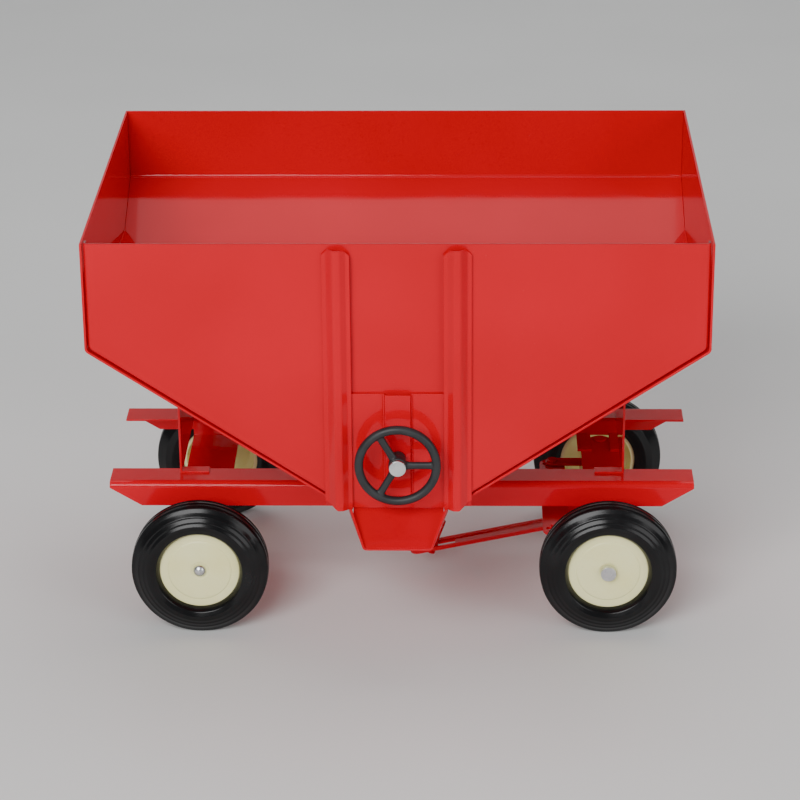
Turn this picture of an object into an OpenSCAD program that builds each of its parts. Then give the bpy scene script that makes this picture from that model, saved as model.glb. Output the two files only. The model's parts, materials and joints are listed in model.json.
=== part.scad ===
// Toy gravity feed wagon: a pressed-steel hopper on a four-wheeled running gear.
// +X is forward, +Y is away from the discharge side, +Z is up, and the wheels stand on Z = 0.

/* [Hopper] */
// Length of the hopper over its end sheets
hopper_length = 241; // [180:1:320]
// Width of the hopper, discharge face to back face
hopper_width = 166; // [140:1:220]
// Height of the hopper's rim above the ground
rim_height = 178; // [170:1:260]
// Height of the upright part of the ends
end_wall_height = 44.2; // [25:0.1:50]
// Height of the upright part of the back
back_wall_height = 30; // [15:0.5:45]
// Depth from the rim to the bottom of the discharge panel
hopper_depth = 110; // [100:0.5:131]
// Thickness of the sheet steel
sheet = 0.9; // [0.6:0.05:1.4]
// Depth of the flange bent back around the discharge panel
panel_flange = 4; // [2:0.5:8]
// Gap between the discharge panel's edge and the end sheets
seam = 0.6; // [0.3:0.1:1.5]
// Height of the short upright edge beside the ribs' feet
toe_height = 4; // [2:0.5:8]

/* [Door and handwheel] */
// Clear width between the two ribs
rib_gap = 35.6; // [28:0.1:50]
// Width of one rib
rib_width = 10.9; // [8:0.1:16]
// Height of a rib's ridge off the panel
rib_rise = 4.2; // [3.2:0.1:8]
// Height of the door plate
door_height = 48.6; // [35:0.1:60]
// Width that each rib's lip covers on the door
door_lap = 1.6; // [1:0.1:3]
// Gap between the door and what it slides on
slide_gap = 0.3; // [0.2:0.05:0.5]
// Width of the door's raised channel
channel_width = 10.3; // [8:0.1:16]
// Height of the door's raised channel off the plate
channel_rise = 1.8; // [1.5:0.1:4]
// Width of the discharge opening
outlet_width = 28; // [16:1:32]
// Height of the discharge opening
outlet_height = 38; // [20:1:42]
// Outer diameter of the handwheel
handwheel_diameter = 33.6; // [24:0.1:40]
// Thickness of the handwheel's ring
handwheel_ring = 3.5; // [2:0.1:5]
// Height of the handwheel's centre above the door's lower edge
handwheel_height = 22.5; // [15:0.5:30]
// Distance from the channel's face to the back of the handwheel's ring
handwheel_standoff = 6; // [4:0.1:14]
// Diameter of the spindle that carries the handwheel
spindle_diameter = 3; // [2:0.1:5]

/* [Chute] */
// Reach of the chute past the discharge face
chute_reach = 19; // [10:0.5:30]
// Width of the chute across its sides where they meet the ribs
chute_width = 38.8; // [30:0.1:46]
// Width of the chute's lip
chute_lip = 27.5; // [18:0.5:34]
// Height of the chute's sides at the rear
chute_side = 4; // [2:0.5:8]
// Height of the chute's sides at the lip
chute_lip_side = 1.2; // [0.8:0.1:4]
// Length of the chute's floor that laps under the hopper's floor
chute_lap = 8; // [4:0.5:15]

/* [Chassis] */
// Length of the two rails
rail_length = 239; // [200:1:320]
// Distance over the outer faces of the rails
rail_spread = 78; // [70:0.5:100]
// Height of the rails' top face above the ground
rail_top = 58; // [55:0.5:80]
// Height of a rail's face
rail_face = 10.5; // [8:0.5:16]
// Width of a rail's top flange
rail_flange = 14; // [8:0.5:20]
// Length of the slanted cut at a rail's ends
rail_cut_length = 13; // [6:0.5:25]
// Height left at the very end of a rail
rail_end_height = 3.6; // [2:0.1:6]
// Distance between the two end supports
support_spread = 182.5; // [150:1:190]
// Distance of the supports' edges inside the rails' outer faces
support_inset = 9; // [4:0.5:12]
// Length of the supports' feet on the rails
support_foot = 12; // [8:0.5:20]

/* [Running gear] */
// Distance between the axles
wheelbase = 166; // [140:1:220]
// Distance of the running gear's middle ahead of the hopper's
axle_shift = 1.2; // [-5:0.1:5]
// Distance between the wheels' mid-planes
track = 110; // [100:1:140]
// Diameter of the tyres
tyre_diameter = 56; // [40:0.5:58]
// Width of the tyres
tyre_width = 16; // [10:0.5:18]
// Distance of the hub discs outside the wheels' mid-planes
disc_offset = 4.5; // [2:0.5:7]
// Diameter of the hub's disc
hub_diameter = 32.6; // [24:0.1:36]
// Diameter of the axles
axle_diameter = 4; // [3:0.1:5]
// Radial clearance of what turns on an axle or pin
running_gap = 0.05; // [0.03:0.01:0.09]
// End gap of what turns beside a fixed face
end_gap = 0.35; // [0.3:0.05:0.6]
// Diameter of the push-on caps of the front axles
front_cap = 6.3; // [5:0.1:8]
// Diameter of the rear axle's domed ends
rear_dome = 5; // [4.4:0.1:7]

/* [Steering] */
// Distance between the kingpins
kingpin_spread = 64; // [54:1:70]
// Diameter of the kingpins and the yoke's centre pin
kingpin_diameter = 3; // [2:0.1:4]
// Height of the front beam's underside
beam_bottom = 32.5; // [32:0.5:42]
// Height of the front beam
beam_height = 13; // [11:0.5:18]
// Width of the front beam
beam_width = 17; // [12:0.5:24]
// Length of the steering arms
arm_length = 20.4; // [15:0.1:24]
// Length of the tongue from its hinge to its tip
tongue_length = 91.5; // [60:0.5:140]
// Width of the tongue's channel
tongue_width = 8.5; // [7:0.5:18]
// Depth of the tongue's channel
tongue_depth = 1.8; // [1.5:0.1:4]
// Distance of the tongue's hinge ahead of the front axle
hinge_ahead = 8; // [4:0.5:14]
// Height of the tongue's hinge above the ground
hinge_height = 27.5; // [22:0.5:32]
// Angle of the stowed tongue below level
stow_angle = 12; // [0:1:14]
// Diameter of the hitch peg
peg_diameter = 3; // [2:0.1:4]
// Length of the hitch peg above the tongue
peg_length = 13; // [8:0.5:18]
// Distance of the hitch peg from the tongue's tip
peg_inset = 9.6; // [8:0.1:20]
// Lean of the hitch peg towards the tongue's hinge
peg_lean = 32; // [0:1:35]

/* [Hidden] */
$fn = 64;
fall = (hopper_depth - back_wall_height) / hopper_width;
fall_angle = atan(fall);
mid = (chute_reach + chute_lip_side * sin(fall_angle)) / 2;
face_y = mid - hopper_width / 2;
back_y = mid + hopper_width / 2;
half_length = hopper_length / 2;
panel_bottom = rim_height - hopper_depth;
wall_foot = rim_height - end_wall_height;
rib_inner = rib_gap / 2;
rib_outer = rib_inner + rib_width;
rib_edge = 1.6;
rib_foot = 5;
rib_drop = 1.5;
rib_corner = 2.5;
ridge_start = 3.9;
ridge_end = 6.5;
ridge_ease = 0.5;
slope = (wall_foot - panel_bottom - toe_height) / (half_length - rib_outer);
slope_angle = atan(slope);
floor_rise = sheet / cos(fall_angle);
panel_low = panel_bottom + sheet * fall + 0.05;
outlet_low = panel_bottom + floor_rise + sheet * fall;
door_back = face_y - slide_gap;
door_front = door_back - sheet;
door_low = panel_bottom + slide_gap;
door_width = rib_gap + 2 * door_lap;
lip_back = door_front - slide_gap;
chute_start = (face_y - lip_back + sheet + slide_gap) / cos(fall_angle);
channel_front = door_front - channel_rise;
channel_foot = 5;
wheel_z = door_low + handwheel_height;
wheel_back = channel_front - handwheel_standoff;
wheel_front = wheel_back - handwheel_ring;
cap_thick = 1.2;
cap_radius = 3.25;
boss_radius = 3;
spoke_width = 2.8;
axle_z = tyre_diameter / 2;
axle_radius = axle_diameter / 2;
front_x = wheelbase / 2 + axle_shift;
rear_x = front_x - wheelbase;
rail_y = rail_spread / 2;
rail_low = rail_top - rail_face;
support_x = support_spread / 2;
support_y = rail_y - support_inset;
beam_top = beam_bottom + beam_height;
kingpin_y = kingpin_spread / 2;
kingpin_radius = kingpin_diameter / 2;
plate = 1;
head_lip = 1.3;
head_high = 1;
foot_lip = 1;
foot_high = 0.8;
cheek_half = 10;
cheek_foot = 6;
cross_low = rail_low - 3;
ear_y = rail_y - sheet - plate;
hub_inner = ear_y + plate + end_gap;
tyre_inner = (track - tyre_width) / 2;
tyre_outer = (track + tyre_width) / 2;
disc_outer = track / 2 + disc_offset;
disc_thick = 1.6;
cap_depth = 2.4;
cap_skin = 0.6;
dome_root = 0.5;
hub_boss = 5;
axle_head = 1.2;
barrel_radius = 4.5;
barrel_low = beam_bottom + plate + end_gap;
barrel_top = beam_top - plate - end_gap;
knuckle_half = 6;
knuckle_low = axle_z - 6;
arm_z = barrel_low + 0.6;
arm_thick = 1.2;
arm_half = 3;
arm_x = front_x - arm_length;
rod_thick = 1.2;
rod_low = arm_z - end_gap - rod_thick;
rivet_radius = 1.25;
peg_weld = 0.6;
peg_root = (sheet / 2 + (peg_diameter / 2 + peg_weld) * sin(peg_lean)) / cos(peg_lean) + 0.05;
peg_seat = peg_root + 1.4;
slot_half = 2.6;
rod_half = slot_half + rivet_radius + 1.6;
yoke_top = beam_bottom - end_gap;
yoke_rear = arm_x - 4;
hinge_x = front_x + hinge_ahead;
hinge_radius = 1.25;
yoke_front = hinge_x + 5;
cheek_gap = 0.5;
yoke_half = tongue_width / 2 + cheek_gap + plate;
cheek_low = hinge_height - 5;

// Height of the end sheets' outer face on their slope.
function slope_z(x) = wall_foot - (half_length - x) * slope;

// Height of the hopper floor's underside.
function under_z(y) = panel_bottom + (y - face_y) * fall;

// A far-side form brought to the near side, by reflection in the wagon's mid-plane.
module on_near_side() {
    translate([0, 2 * mid, 0]) mirror([0, 1, 0]) children();
}

// A profile in X and Z, given the stated depth along +Y from y.
module along_y(y, depth) {
    translate([0, y + depth, 0]) rotate([90, 0, 0]) linear_extrude(depth) children();
}

// A profile in Y and Z, given the stated length along +X from x.
module along_x(x, length) {
    translate([x, 0, 0]) rotate([90, 0, 90]) linear_extrude(length) children();
}

// A round bar along Y between two distances from the mid-plane.
module bar_y(x, z, a, b, r) {
    translate([x, mid + a, z]) rotate([-90, 0, 0]) cylinder(r = r, h = b - a);
}

// The hopper's end view from the discharge side, set in from the end sheets' outer faces.
module hopper_outline(inset, low) {
    side = half_length - inset;
    lift = inset / cos(slope_angle);
    polygon([[-side, rim_height], [-side, slope_z(side) + lift],
        [-rib_outer, slope_z(rib_outer) + lift], [-rib_outer, low], [rib_outer, low],
        [rib_outer, slope_z(rib_outer) + lift], [side, slope_z(side) + lift],
        [side, rim_height]]);
}

module discharge_panel() {
    edge = sheet + seam;
    color("firebrick") difference() {
        union() {
            along_y(face_y, sheet) hopper_outline(edge, panel_low);
            along_y(face_y, panel_flange) difference() {
                hopper_outline(edge, panel_low);
                hopper_outline(edge + sheet, panel_low);
            }
        }
        translate([-outlet_width / 2, face_y - 1, outlet_low])
            cube([outlet_width, sheet + 2, outlet_height]);
    }
}

// Back wall and sloping floor, one bent sheet that fits between the end sheets.
module back_panel() {
    start = face_y + sheet;
    color("firebrick") intersection() {
        along_x(-half_length, hopper_length) polygon([[back_y, rim_height],
            [back_y - sheet, rim_height],
            [back_y - sheet, under_z(back_y - sheet) + floor_rise],
            [start, under_z(start) + floor_rise], [start, under_z(start)],
            [back_y, under_z(back_y)]]);
        along_y(face_y, hopper_width) polygon([[0, slope_z(0) + sheet / cos(slope_angle)],
            [half_length - sheet, slope_z(half_length - sheet) + sheet / cos(slope_angle)],
            [half_length - sheet, rim_height], [sheet - half_length, rim_height],
            [sheet - half_length, slope_z(half_length - sheet) + sheet / cos(slope_angle)]]);
    }
}

// One end: upright wall and slope bent from a sheet, cut off along the floor's underside.
module end_sheet() {
    lift = sheet / cos(slope_angle);
    side = half_length - sheet;
    notch = rib_outer + seam;
    color("firebrick") difference() {
        along_y(face_y, hopper_width) polygon([[half_length, rim_height], [side, rim_height],
            [side, slope_z(side) + lift], [0, slope_z(0) + lift], [0, slope_z(0)],
            [half_length, wall_foot]]);
        along_x(-1, half_length + 2) polygon([[face_y - 1, 0], [back_y + 1, 0],
            [back_y + 1, under_z(back_y + 1)], [face_y - 1, under_z(face_y - 1)]]);
        translate([-1, face_y - 1, 0]) cube([notch + 1, sheet + 1, rim_height]);
    }
}

module front_end_sheet() {
    end_sheet();
}

module rear_end_sheet() {
    mirror([1, 0, 0]) end_sheet();
}

// A ridged rib: its outer foot lies on the panel and its inner lip stands over the door.
module rib() {
    ridge_in = rib_inner + ridge_start;
    ridge_out = rib_inner + ridge_end;
    top = rim_height - rib_drop;
    out = face_y - rib_rise;
    margin = 1;
    color("red") intersection() {
        translate([0, 0, panel_bottom]) linear_extrude(hopper_depth) polygon([
            [rib_inner, lip_back], [rib_inner + rib_edge, lip_back],
            [ridge_in + ridge_ease, out + sheet], [ridge_out - ridge_ease, out + sheet],
            [rib_outer - rib_edge - ridge_ease, face_y], [rib_outer, face_y],
            [rib_outer, face_y - sheet], [rib_outer - rib_edge, face_y - sheet],
            [ridge_out, out], [ridge_in, out], [rib_inner + rib_edge, lip_back - sheet],
            [rib_inner, lip_back - sheet]]);
        along_y(out - margin, rib_rise + 2 * margin) polygon([[rib_inner - margin, panel_bottom],
            [rib_outer - rib_foot, panel_bottom],
            [rib_outer + margin, panel_bottom + (rib_foot + margin) * slope],
            [rib_outer + margin, top - rib_corner - margin], [rib_outer - rib_corner, top],
            [rib_inner + rib_corner, top], [rib_inner - margin, top - rib_corner - margin]]);
    }
}

module front_rib() {
    rib();
}

module rear_rib() {
    mirror([1, 0, 0]) rib();
}

// The chute's outline in its own sloping plane, with its sides set in by the given distance.
module chute_plan(inset, lap) {
    rear = chute_width / 2 - inset;
    lip = chute_lip / 2 - inset;
    end = chute_reach / cos(fall_angle);
    polygon([[-rear, lap], [-rear, -chute_start], [-lip, -end], [lip, -end],
        [rear, -chute_start], [rear, lap]]);
}

// The chute carries the hopper's floor on past the discharge face.
module chute() {
    end = chute_reach / cos(fall_angle);
    color("red") translate([0, face_y, panel_bottom]) rotate([fall_angle, 0, 0]) {
        translate([0, 0, -sheet]) linear_extrude(sheet) chute_plan(0, chute_lap);
        intersection() {
            translate([0, 0, -sheet]) linear_extrude(chute_side + sheet) difference() {
                chute_plan(0, 0);
                chute_plan(sheet, 1);
            }
            along_x(-rib_outer, 2 * rib_outer) polygon([[-end - 1, -sheet],
                [-chute_start, -sheet], [-chute_start, chute_side], [-end, chute_lip_side],
                [-end - 1, chute_lip_side]]);
        }
    }
}

// A rail: upright face outside, flange on top, the face's lower corners cut off at the ends.
module rail() {
    half = rail_length / 2;
    color("firebrick") intersection() {
        along_x(-half, rail_length) polygon([[mid + rail_y, rail_top],
            [mid + rail_y - rail_flange, rail_top],
            [mid + rail_y - rail_flange, rail_top - sheet],
            [mid + rail_y - sheet, rail_top - sheet], [mid + rail_y - sheet, rail_low],
            [mid + rail_y, rail_low]]);
        along_y(mid, rail_y + 1) polygon([[-half, rail_top], [half, rail_top],
            [half, rail_top - rail_end_height], [half - rail_cut_length, rail_low],
            [rail_cut_length - half, rail_low], [-half, rail_top - rail_end_height]]);
    }
}

module far_rail() {
    rail();
}

module near_rail() {
    on_near_side() rail();
}

// A plate on two feet across both rails, from their top up to the hopper's end and floor.
module support() {
    inner = support_x - sheet;
    high = slope_z(inner);
    meet = min(face_y + (high - panel_bottom) / fall, mid + support_y);
    tall = max(high, under_z(mid + support_y));
    color("firebrick") {
        along_x(inner, sheet) polygon([[mid - support_y, rail_top], [mid + support_y, rail_top],
            [mid + support_y, tall], [meet, high], [mid - support_y, high]]);
        for (y = [mid - support_y, mid + rail_y - rail_flange])
            translate([support_x - support_foot, y, rail_top])
                cube([support_foot, rail_flange - support_inset, sheet]);
    }
}

module front_support() {
    support();
}

module rear_support() {
    mirror([1, 0, 0]) support();
}

// A cheek of a bracket, welded inside the rail and reaching down to the given height.
module cheek(x, low) {
    top = rail_top - sheet;
    along_y(mid + ear_y, plate) polygon([[x - cheek_half, top], [x + cheek_half, top],
        [x + cheek_half, cross_low], [x + cheek_foot, low], [x - cheek_foot, low],
        [x - cheek_half, cross_low]]);
}

// Two cheeks and the plate between them that carry the rear axle.
module rear_axle_bracket() {
    color("firebrick") difference() {
        union() {
            cheek(rear_x, axle_z - hub_boss);
            on_near_side() cheek(rear_x, axle_z - hub_boss);
            translate([rear_x - cheek_half, mid - ear_y, cross_low])
                cube([2 * cheek_half, 2 * ear_y, plate]);
        }
        bar_y(rear_x, axle_z, -rail_y, rail_y, axle_radius);
    }
}

// A rod right across the wagon, with a domed head at each end.
module rear_axle() {
    end = disc_outer + end_gap;
    color("silver") {
        bar_y(rear_x, axle_z, -end - dome_root, end + dome_root, axle_radius);
        for (side = [0, 1]) translate([0, 2 * mid * side, 0]) mirror([0, side, 0])
            translate([rear_x, mid + end, axle_z]) rotate([-90, 0, 0]) intersection() {
                cylinder(r = rear_dome / 2, h = rear_dome / 2);
                translate([0, 0, -3 * dome_root]) sphere(r = rear_dome / 2 + dome_root);
            }
    }
}

// The rectangular beam under the rails' front, open at its ends around the knuckles.
module front_beam() {
    half = beam_width / 2;
    inner = kingpin_y - barrel_radius - 3;
    nose = ear_y - kingpin_y - 0.4;
    ear = 10;
    foot = 6;
    foot_reach = 12;
    color("firebrick") difference() {
        union() {
            for (z = [beam_bottom, beam_top - plate]) {
                translate([front_x - half, mid - kingpin_y, z]) cube([beam_width, kingpin_spread, plate]);
                for (side = [-1, 1]) translate([front_x, mid + side * kingpin_y, z])
                    cylinder(r = nose, h = plate);
            }
            for (x = [front_x - half, front_x + half - plate])
                translate([x, mid - inner, beam_bottom]) cube([plate, 2 * inner, beam_height]);
            for (side = [0, 1]) translate([0, 2 * mid * side, 0]) mirror([0, side, 0]) {
                along_y(mid + ear_y, plate) polygon([[front_x - ear, rail_top - sheet],
                    [front_x + ear, rail_top - sheet], [front_x + ear, beam_top],
                    [front_x - ear, beam_top]]);
                for (x = [front_x - ear, front_x + ear - foot])
                    translate([x, mid + kingpin_y - foot_reach, beam_top])
                        cube([foot, ear_y - kingpin_y + foot_reach + plate, plate]);
            }
        }
        for (y = [-kingpin_y, 0, kingpin_y]) translate([front_x, mid + y, beam_bottom - 1])
            cylinder(r = kingpin_radius, h = beam_height + 4);
    }
}

// A headed pin, upset at its foot, standing at the given place.
module headed_pin(x, y, low, high, r) {
    translate([x, y, low - foot_high]) cylinder(r = r, h = foot_high + high - low + head_high);
    translate([x, y, high]) cylinder(r = r + head_lip, h = head_high);
    translate([x, y, low - foot_high]) cylinder(r = r + foot_lip, h = foot_high);
}

module far_kingpin() {
    color("firebrick") headed_pin(front_x, mid + kingpin_y, beam_bottom, beam_top, kingpin_radius);
}

module near_kingpin() {
    on_near_side() far_kingpin();
}

// The yoke's pivot hangs from the beam's floor and carries the yoke on its lower head.
module centre_pin() {
    low = yoke_top - plate - end_gap;
    color("firebrick") {
        translate([front_x, mid, low]) cylinder(r = kingpin_radius, h = beam_bottom + plate - low);
        translate([front_x, mid, beam_bottom + plate])
            cylinder(r = kingpin_radius + head_lip, h = head_high);
        translate([front_x, mid, low - foot_high])
            cylinder(r = kingpin_radius + head_lip, h = foot_high);
    }
}

// A dished disc with a long inner boss, bored to turn on its axle.
module hub() {
    r = hub_diameter / 2;
    color("beige") rotate([-90, 0, 0]) rotate_extrude() polygon([
        [axle_radius + running_gap, hub_inner], [hub_boss, hub_inner],
        [hub_boss, disc_outer - disc_thick], [r * 0.76, disc_outer - disc_thick],
        [r - disc_thick, disc_outer - disc_thick - 1], [r - disc_thick, tyre_inner + 2.5],
        [r, tyre_inner + 2.5], [r, disc_outer - 1], [r * 0.8, disc_outer - 0.7],
        [r * 0.78, disc_outer], [axle_radius + running_gap, disc_outer]]);
}

// A tyre with a rounded section and raised rings on its outer shoulder. The section runs from
// the inner bead over the inner wall and the tread to the outer shoulder, wall and bead.
module tyre() {
    r = hub_diameter / 2;
    big = tyre_diameter / 2;
    color("black") rotate([-90, 0, 0]) rotate_extrude() polygon([[r, tyre_inner + 1.5],
        [r + 2, tyre_inner + 0.2], [r + 5, tyre_inner], [big - 4, tyre_inner + 0.9],
        [big - 1.4, tyre_inner + 3], [big - 0.3, tyre_inner + 5.4], [big, track / 2 - 1],
        [big, track / 2 + 1], [big - 0.3, tyre_outer - 5.4], [big - 1.4, tyre_outer - 3.2],
        [big - 2, tyre_outer - 2.9], [big - 3.2, tyre_outer - 1.7],
        [big - 3.8, tyre_outer - 1.6], [big - 5, tyre_outer - 0.7],
        [big - 5.6, tyre_outer - 0.7], [big - 6.6, tyre_outer], [r + 3.4, tyre_outer],
        [r + 1.4, tyre_outer - 0.8], [r, tyre_outer - 2.6]]);
}

// A wheel part drawn on the mid-plane, set on the far side of the given axle.
module far_wheel(x) {
    translate([x, mid, axle_z]) children();
}

module rear_far_hub() {
    far_wheel(rear_x) hub();
}

module rear_far_tyre() {
    far_wheel(rear_x) tyre();
}

module rear_near_hub() {
    on_near_side() rear_far_hub();
}

module rear_near_tyre() {
    on_near_side() rear_far_tyre();
}

module front_far_hub() {
    far_wheel(front_x) hub();
}

module front_far_tyre() {
    far_wheel(front_x) tyre();
}

module front_near_hub() {
    on_near_side() front_far_hub();
}

module front_near_tyre() {
    on_near_side() front_far_tyre();
}

// A steering knuckle: kingpin barrel, drop plate for the stub axle, and rearward arm.
module far_knuckle() {
    web = 5;
    color("firebrick") difference() {
        union() {
            translate([front_x, mid + kingpin_y, barrel_low])
                cylinder(r = barrel_radius, h = barrel_top - barrel_low);
            translate([front_x - web / 2, mid + kingpin_y, barrel_low])
                cube([web, ear_y - kingpin_y + plate / 2, barrel_top - barrel_low]);
            along_y(mid + ear_y, plate) polygon([[front_x - knuckle_half, barrel_top],
                [front_x + knuckle_half, barrel_top], [front_x + knuckle_half, knuckle_low],
                [front_x - knuckle_half, knuckle_low]]);
            translate([arm_x, mid + kingpin_y - arm_half, arm_z])
                cube([arm_length, 2 * arm_half, arm_thick]);
            translate([arm_x, mid + kingpin_y, arm_z]) cylinder(r = arm_half, h = arm_thick);
        }
        translate([front_x, mid + kingpin_y, barrel_low - 1])
            cylinder(r = kingpin_radius + running_gap, h = beam_height + 2);
        translate([arm_x, mid + kingpin_y, arm_z - 1]) cylinder(r = rivet_radius, h = arm_thick + 2);
        bar_y(front_x, axle_z, ear_y - 1, ear_y + plate + 1, axle_radius);
    }
}

module near_knuckle() {
    on_near_side() far_knuckle();
}

// A stub axle riveted through the knuckle's drop plate.
module far_stub_axle() {
    color("silver") {
        bar_y(front_x, axle_z, ear_y, disc_outer + end_gap + cap_depth - cap_skin, axle_radius);
        bar_y(front_x, axle_z, ear_y - axle_head, ear_y, axle_radius + axle_head);
    }
}

module near_stub_axle() {
    on_near_side() far_stub_axle();
}

// A push-on cap over the end of a stub axle.
module far_cap() {
    low = disc_outer + end_gap;
    color("silver") difference() {
        bar_y(front_x, axle_z, low, low + cap_depth, front_cap / 2);
        bar_y(front_x, axle_z, low - 1, low + cap_depth - cap_skin, axle_radius);
    }
}

module near_cap() {
    on_near_side() far_cap();
}

// A rivet in a steering arm whose shank runs in the tie rod's slot.
module far_arm_rivet() {
    low = rod_low - end_gap;
    color("firebrick") {
        translate([arm_x, mid + kingpin_y, low])
            cylinder(r = rivet_radius, h = arm_z + arm_thick - low);
        translate([arm_x, mid + kingpin_y, arm_z + arm_thick])
            cylinder(r = rivet_radius + foot_lip, h = foot_high);
        translate([arm_x, mid + kingpin_y, low - foot_high])
            cylinder(r = rivet_radius + foot_lip, h = foot_high);
    }
}

module near_arm_rivet() {
    on_near_side() far_arm_rivet();
}

// The flat tie rod, with three slots along X for the arms' rivets and the yoke's pin.
module tie_rod() {
    slot = rivet_radius + slide_gap;
    color("firebrick") difference() {
        union() {
            translate([arm_x - rod_half, mid - kingpin_y, rod_low])
                cube([2 * rod_half, kingpin_spread, rod_thick]);
            for (side = [-1, 1]) translate([arm_x, mid + side * kingpin_y, rod_low])
                cylinder(r = rod_half, h = rod_thick);
        }
        for (y = [-kingpin_y, 0, kingpin_y]) translate([arm_x, mid + y, rod_low - 1]) {
            translate([-slot_half, -slot, 0]) cube([2 * slot_half, 2 * slot, rod_thick + 2]);
            for (end = [-slot_half, slot_half]) translate([end, 0, 0])
                cylinder(r = slot, h = rod_thick + 2);
        }
    }
}

// The steering yoke: a top plate on the centre pin and two cheeks around the tongue.
module steering_yoke() {
    low = yoke_top - plate;
    color("firebrick") difference() {
        union() {
            translate([yoke_rear, mid - yoke_half, low])
                cube([yoke_front - yoke_rear, 2 * yoke_half, plate]);
            for (y = [mid - yoke_half, mid + yoke_half - plate]) along_y(y, plate)
                polygon([[yoke_rear, yoke_top], [yoke_front, yoke_top],
                    [yoke_front, cheek_low + 2], [yoke_front - 2, cheek_low],
                    [yoke_rear + 4, cheek_low - 2], [yoke_rear, cheek_low]]);
        }
        translate([front_x, mid, low - 1]) cylinder(r = kingpin_radius + running_gap, h = plate + 2);
        translate([arm_x, mid, low - 1]) cylinder(r = rivet_radius, h = plate + 2);
        bar_y(hinge_x, hinge_height, -rail_y, rail_y, hinge_radius);
    }
}

// The pin that drives the tie rod, riveted in the yoke's top plate.
module drive_pin() {
    low = yoke_top - plate;
    color("firebrick") {
        translate([arm_x, mid, low]) cylinder(r = rivet_radius, h = rod_low + rod_thick + 0.6 - low);
        translate([arm_x, mid, low - foot_high]) cylinder(r = rivet_radius + foot_lip, h = foot_high);
    }
}

// Placed along the stowed tongue: local X runs from the hinge towards the tip.
module along_tongue() {
    translate([hinge_x, mid, hinge_height]) rotate([0, 180 - stow_angle, 0]) children();
}

// The tongue: a shallow tray with an eye at the hinge, a slot and a seat for the peg.
module tongue() {
    half = tongue_width / 2;
    eye = 2.6;
    low = -tongue_depth / 2;
    straight = tongue_length - half;
    slot = [7.5, 3];
    slot_end = tongue_length - peg_inset - peg_diameter / 2 - 1;
    color("red") along_tongue() difference() {
        union() {
            translate([0, -half, low]) cube([straight, tongue_width, tongue_depth]);
            translate([straight, 0, low]) cylinder(r = half, h = tongue_depth);
            rotate([-90, 0, 0]) translate([0, 0, -half]) cylinder(r = eye, h = tongue_width);
        }
        translate([eye + 1, sheet - half, low - 1])
            cube([straight - eye - 1, tongue_width - 2 * sheet, tongue_depth - sheet + 1]);
        translate([straight, 0, low - 1]) cylinder(r = half - sheet, h = tongue_depth - sheet + 1);
        translate([slot_end - slot[0], -slot[1] / 2, -tongue_depth])
            cube([slot[0], slot[1], 2 * tongue_depth]);
        peg_place() translate([0, 0, -peg_root - 1]) cylinder(r = peg_diameter / 2, h = 2 * peg_root + 2);
        rotate([-90, 0, 0]) translate([0, 0, -half - 1])
            cylinder(r = hinge_radius + running_gap, h = tongue_width + 2);
    }
}

// The peg's seat in the tongue's web, leaning back towards the hinge.
module peg_place() {
    translate([tongue_length - peg_inset, 0, tongue_depth / 2 - sheet / 2])
        rotate([0, 180 + peg_lean, 0]) children();
}

module tongue_pin() {
    color("firebrick") {
        bar_y(hinge_x, hinge_height, -yoke_half - foot_high, yoke_half + foot_high, hinge_radius);
        for (y = [-yoke_half - foot_high, yoke_half])
            bar_y(hinge_x, hinge_height, y, y + foot_high, hinge_radius + foot_lip);
    }
}

// The hitch peg, riveted in the tongue, which drops into a drawbar's eye.
module hitch_peg() {
    r = peg_diameter / 2;
    color("firebrick") along_tongue() peg_place() {
        translate([0, 0, -peg_root]) cylinder(r = r, h = peg_length + peg_root);
        translate([0, 0, peg_root]) cylinder(r1 = r + peg_weld, r2 = r, h = peg_seat - peg_root);
        translate([0, 0, -peg_root - foot_high]) cylinder(r = r + peg_weld, h = foot_high);
    }
}

// The door plate with its raised channel, open at the back and at the top.
module door() {
    top = door_height - channel_foot;
    color("red") difference() {
        union() {
            translate([-door_width / 2, door_front, door_low]) cube([door_width, sheet, door_height]);
            translate([-channel_width / 2, channel_front, door_low + channel_foot])
                cube([channel_width, channel_rise + sheet / 2, top]);
        }
        translate([sheet - channel_width / 2, channel_front + sheet, door_low + channel_foot + sheet])
            cube([channel_width - 2 * sheet, channel_rise + sheet, top]);
        translate([0, channel_front - 1, wheel_z]) rotate([-90, 0, 0])
            cylinder(r = spindle_diameter / 2, h = sheet + 1.5);
    }
}

// The spindle riveted in the door's channel, with the bright cap that keeps the wheel on.
module door_spindle() {
    r = spindle_diameter / 2;
    front = wheel_front - end_gap - cap_thick;
    color("silver") translate([0, 0, wheel_z]) rotate([-90, 0, 0]) {
        translate([0, 0, front]) cylinder(r = r, h = channel_front + sheet - front);
        translate([0, 0, front]) cylinder(r = cap_radius, h = cap_thick);
        translate([0, 0, channel_front + sheet]) cylinder(r = r + 1, h = 0.8);
    }
}

// The three-spoked handwheel on its boss.
module handwheel() {
    r = handwheel_ring / 2;
    big = handwheel_diameter / 2 - r;
    color("dimgray") translate([0, wheel_back - r, wheel_z]) rotate([90, 0, 0]) difference() {
        union() {
            rotate_extrude() translate([big, 0]) circle(r = r, $fn = 24);
            for (turn = [0, 120, 240]) rotate([0, 0, turn]) translate([0, -spoke_width / 2, -1])
                cube([big, spoke_width, 2]);
            translate([0, 0, wheel_back - r - channel_front + end_gap]) cylinder(r = boss_radius,
                h = channel_front - end_gap - wheel_front);
        }
        translate([0, 0, -20]) cylinder(r = spindle_diameter / 2 + running_gap, h = 40);
    }
}

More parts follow.
